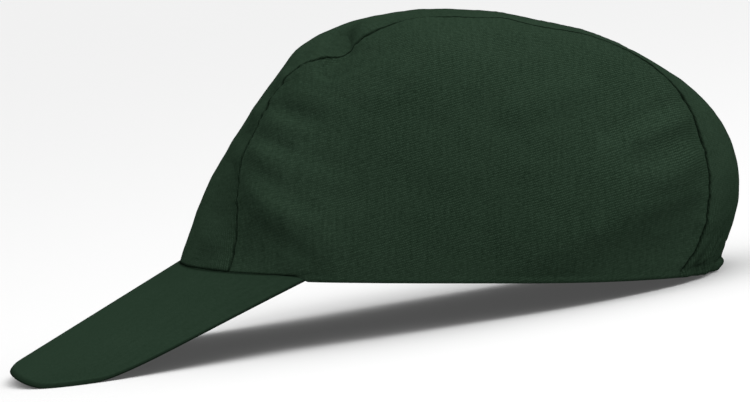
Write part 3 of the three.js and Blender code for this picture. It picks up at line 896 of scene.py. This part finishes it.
# The board: two walls half a thickness to each side of a sheet, which meet in a half round at its edge.
def peakPiece():
    settings = {"across": 121, "out": 81, "samples": 4001, "samplePower": 6}
    # equal steps along the outline, from the middle of the front to the join
    fine = 1 - (1 - np.linspace(0, 1, settings["samples"])) ** settings["samplePower"]
    edge = peakSurface(fine, np.ones(fine.shape))
    edgeRun = runOf(edge[:, None, :], 0)[:, 0]
    half = np.interp(np.linspace(0, edgeRun[-1], settings["across"]), edgeRun, fine)
    angle = np.concatenate([-half[:0:-1], half])[:, None]
    out = crowded(settings["out"], 0, 1)[None, :]
    angle, out = np.broadcast_arrays(angle, out)
    top = peakSurface(angle, out)
    half = peak["thickness"] / 2
    run = runOf(top, 1)
    toEdge = np.clip((run[:, -1:] - run) / half, 0, 1)
    swell = np.maximum(half * np.sqrt(1 - (1 - toEdge) ** 2), peak["leastHalf"])
    down = np.array([0, -math.sin(peak["slope"]), -math.cos(peak["slope"])])
    upper = top + down * (half - swell)[..., None]
    lower = top + down * (half + swell)[..., None]
    # the board gives a little where its edge stands on the floor: a smooth step keeps it above
    floorUp = np.array([0, math.sin(restTilt), math.cos(restTilt)])
    above = lower @ floorUp + restPlace[2] / mm
    lift = (np.hypot(above, peak["give"]) - above) / 2
    upper, lower = (wall + floorUp * lift[..., None] for wall in (upper, lower))
    flat = np.stack([top[..., 0], run], -1)
    # painted shade: a shadow line at the root under the crown, and the rounded edge darker as it turns under
    paintedShade = np.exp(-((baseFrontY(top[..., 0]) - top[..., 1]) / peak["rootLine"]) ** 2)
    shadeAbove = np.maximum(paintedShade, peak["edgeUpper"] * (1 - toEdge) ** peak["edgeUpperPower"])
    shadeBelow = peak["edgeLower"] * np.exp(-((run[:, -1:] - run) / peak["edgeReach"]) ** 2)
    values = {"ribShow": np.full(angle.shape, peak["ribShow"]), "paintedShadeAmount": (shadeAbove, shadeBelow)}
    piece = wallMesh("peakClothBoard", upper, lower, flat, values)
    finishPiece(piece, peakTwill, "peak_cloth", "peak")


# An elliptic roll on the floor of the wearing frame, with its section set in from the path.
def rollRings(path, height, width, inset, sides):
    ahead = np.gradient(path, axis=0)
    ahead[:, 2] = 0
    ahead /= np.linalg.norm(ahead, axis=-1, keepdims=True)
    outward = np.stack([ahead[:, 1], -ahead[:, 0], 0 * ahead[:, 0]], -1)
    outward *= np.sign((outward * path).sum(-1, keepdims=True))
    t = turn * np.arange(sides) / sides
    reach = -inset[:, None] + width[:, None] / 2 * np.cos(t)
    rings = path[:, None, :] + outward[:, None, :] * reach[..., None]
    rings[..., 2] = height[:, None] / 2 * (1 + np.sin(t))
    return rings


edgeRoll = {"height": 2.8, "width": 2.6, "inset": 2.8, "sides": 16, "along": 260, "uneven": 0.03,
            "behindJoin": 1, "ribShow": 0.6}
rearHem = {
    "height": 4.9,
    "width": 4.2,
    "inset": 1.7,
    "sides": 22,
    "along": 420,
    "ruffle": 0.85,
    "thinning": 2.7,
    "ribShow": 0.4,
    # near its ends the roll lies inside the strip's turned edge: from where, over how much, how far in
    "hiddenFrom": 0.40,
    "hiddenOver": 0.14,
    "hiddenInset": 1.9,
}


# Edge roll under a side panel: an elliptic section carried along the base edge.
def sideRoll(side, name, cadNode):
    start, end = crown["rows"][0][3], crown["rows"][-1][3]
    first = (peak["joinY"] + edgeRoll["behindJoin"] - start) / (end - start)
    along = np.linspace(first, 1, edgeRoll["along"])
    path = sideBase(along) * (side, 1, 1)
    run = np.concatenate([[0], np.cumsum(np.linalg.norm(np.diff(path, axis=0), axis=-1))])
    uneven = 1 + edgeRoll["uneven"] * wander(run, shortest=7, longest=40, seed=5)
    full = np.ones(len(along))
    rings = rollRings(path, edgeRoll["height"] * full, edgeRoll["width"] * uneven, edgeRoll["inset"] * full,
                      edgeRoll["sides"])
    around = runOf(rings, 1)
    flat = np.stack([np.broadcast_to(run[:, None], around.shape), around], -1)
    values = {"ribShow": np.full(around.shape, edgeRoll["ribShow"]), "paintedShadeAmount": np.zeros(around.shape)}
    piece = tubeMesh(name, rings, flat, values)
    finishPiece(piece, edgeTwill, "edge_cloth", cadNode)


# Rear hem: an elliptic section carried along the strip's rear base edge, ruffled, and thinner at its ends.
def rearHemPiece():
    across = np.linspace(-1, 1, rearHem["along"])
    path = centreSurface(np.full(across.shape, float(lastRow)), across)
    run = np.concatenate([[0], np.cumsum(np.linalg.norm(np.diff(path, axis=0), axis=-1))])
    hidden = np.clip((np.abs(across) - rearHem["hiddenFrom"]) / rearHem["hiddenOver"], 0, 1)
    waves = wander(run, rearGathers["short"], rearGathers["long"], rearGathers["seed"])
    ruffle = rearHem["ruffle"] * waves * (1 - hidden)
    inset = rearHem["inset"] + rearHem["hiddenInset"] * hidden
    height = mix(rearHem["height"], edgeRoll["height"], np.abs(across) ** rearHem["thinning"])
    rings = rollRings(path, height, rearHem["width"] + ruffle, inset - ruffle / 2, rearHem["sides"])
    around = runOf(rings, 1)
    flat = np.stack([np.broadcast_to(run[:, None], around.shape), around], -1)
    values = {"ribShow": np.full(around.shape, rearHem["ribShow"]), "paintedShadeAmount": np.zeros(around.shape)}
    piece = tubeMesh("rearHemCloth", rings, flat, values)
    finishPiece(piece, edgeTwill, "edge_cloth", "rear_hem")


centrePanel()
sidePanel(1, "sidePanelClothLeft", "side_panel_left")
sidePanel(-1, "sidePanelClothRight", "side_panel_right")
peakPiece()
sideRoll(1, "edgeRollClothLeft", "edge_roll_left")
sideRoll(-1, "edgeRollClothRight", "edge_roll_right")
rearHemPiece()

# The studio: a wide pale floor, soft light from above and a long lens.
studio = {
    "halfWidth": 40.0,
    "floorRoughness": 0.95,
    "floorColour": (0.52, 0.52, 0.52, 1),
    "floorGlow": 0.07,
    "skyLow": 0.38,
    "skyRise": 1.76,
    "skySide": 0.42,
    "keyPlace": (1.3, 0.95, 1.7),
    "keyTarget": (0, 0, 0.05),
    "keySize": (1.2, 1.2),
    "keyPower": 24,
}


# Floor: one flat pale sheet, with a faint glow of its own as on a light table.
def floorPiece():
    half = studio["halfWidth"]
    mesh = bpy.data.meshes.new("floor")
    corners = [(-half, -half, 0), (half, -half, 0), (half, half, 0), (-half, half, 0)]
    mesh.from_pydata(corners, [], [(0, 1, 2, 3)])
    floor = bpy.data.objects.new("floor", mesh)
    bpy.context.scene.collection.objects.link(floor)
    material = bpy.data.materials.new("floorPaper")
    material.use_nodes = True
    shader = material.node_tree.nodes["Principled BSDF"]
    shader.inputs["Base Color"].default_value = studio["floorColour"]
    shader.inputs["Roughness"].default_value = studio["floorRoughness"]
    shader.inputs["Specular IOR Level"].default_value = 0.0
    shader.inputs["Emission Color"].default_value = (1, 1, 1, 1)
    shader.inputs["Emission Strength"].default_value = studio["floorGlow"]
    mesh.materials.append(material)


# Soft sky: white, brighter overhead than at the horizon, and brighter behind the cap than before it.
def skyLight():
    world = bpy.data.worlds.new("studio")
    world.use_nodes = True
    tree = world.node_tree
    heading = node(tree, "ShaderNodeTexCoord").outputs["Generated"]
    split = node(tree, "ShaderNodeSeparateXYZ", {"Vector": heading})
    aside = maths(tree, "MULTIPLY_ADD", split.outputs[1], studio["skySide"], studio["skyLow"])
    height = maths(tree, "MAXIMUM", split.outputs[2], 0.0)
    strength = maths(tree, "MULTIPLY_ADD", height, studio["skyRise"], aside)
    background = tree.nodes["Background"]
    background.inputs[0].default_value = (1, 1, 1, 1)
    tree.links.new(strength, background.inputs[1])
    bpy.context.scene.world = world


# A rectangular light that faces its target.
def softLight(name, place, target, size, power):
    data = bpy.data.lights.new(name, "AREA")
    data.shape = "RECTANGLE"
    data.size, data.size_y = size
    data.energy = power
    light = bpy.data.objects.new(name, data)
    bpy.context.scene.collection.objects.link(light)
    aim = Vector(target) - Vector(place)
    light.location = place
    light.rotation_euler = aim.to_track_quat("-Z", "Y").to_euler()


lens = {
    "distance": 2000.0,
    "elevation": math.radians(3.7),
    "aim": (0.0, -28.6, 25.2),
    "mmPerPixel": 0.38,
    "frameWidth": 750,
    "sensor": 36.0,
    "farClip": 50,
}


# The camera looks along the wearing frame's -x, a little down, and is settled with the cap.
def cameraPiece():
    e = lens["elevation"]
    back = np.array([math.cos(e), 0, math.sin(e)])
    upward = np.array([-math.sin(e), 0, math.cos(e)])
    right = np.array([0.0, 1.0, 0.0])
    place = settle(np.array(lens["aim"]) + back * lens["distance"])
    origin = settle(np.zeros(3))
    axes = [settle(v) - origin for v in (right, upward, back)]
    axes = [v / np.linalg.norm(v) for v in axes]
    data = bpy.data.cameras.new("camera")
    data.sensor_width = lens["sensor"]
    data.lens = lens["distance"] / lens["mmPerPixel"] * lens["sensor"] / lens["frameWidth"]
    data.clip_end = lens["farClip"]
    camera = bpy.data.objects.new("camera", data)
    bpy.context.scene.collection.objects.link(camera)
    matrix = np.eye(4)
    matrix[:3, :3] = np.stack(axes, 1)
    matrix[:3, 3] = place
    camera.matrix_world = Matrix(matrix.tolist())
    bpy.context.scene.camera = camera


floorPiece()
cameraPiece()
softLight("key", studio["keyPlace"], studio["keyTarget"], studio["keySize"], studio["keyPower"])
skyLight()
bpy.context.scene.view_settings.view_transform = "Standard"
print("studio ready")
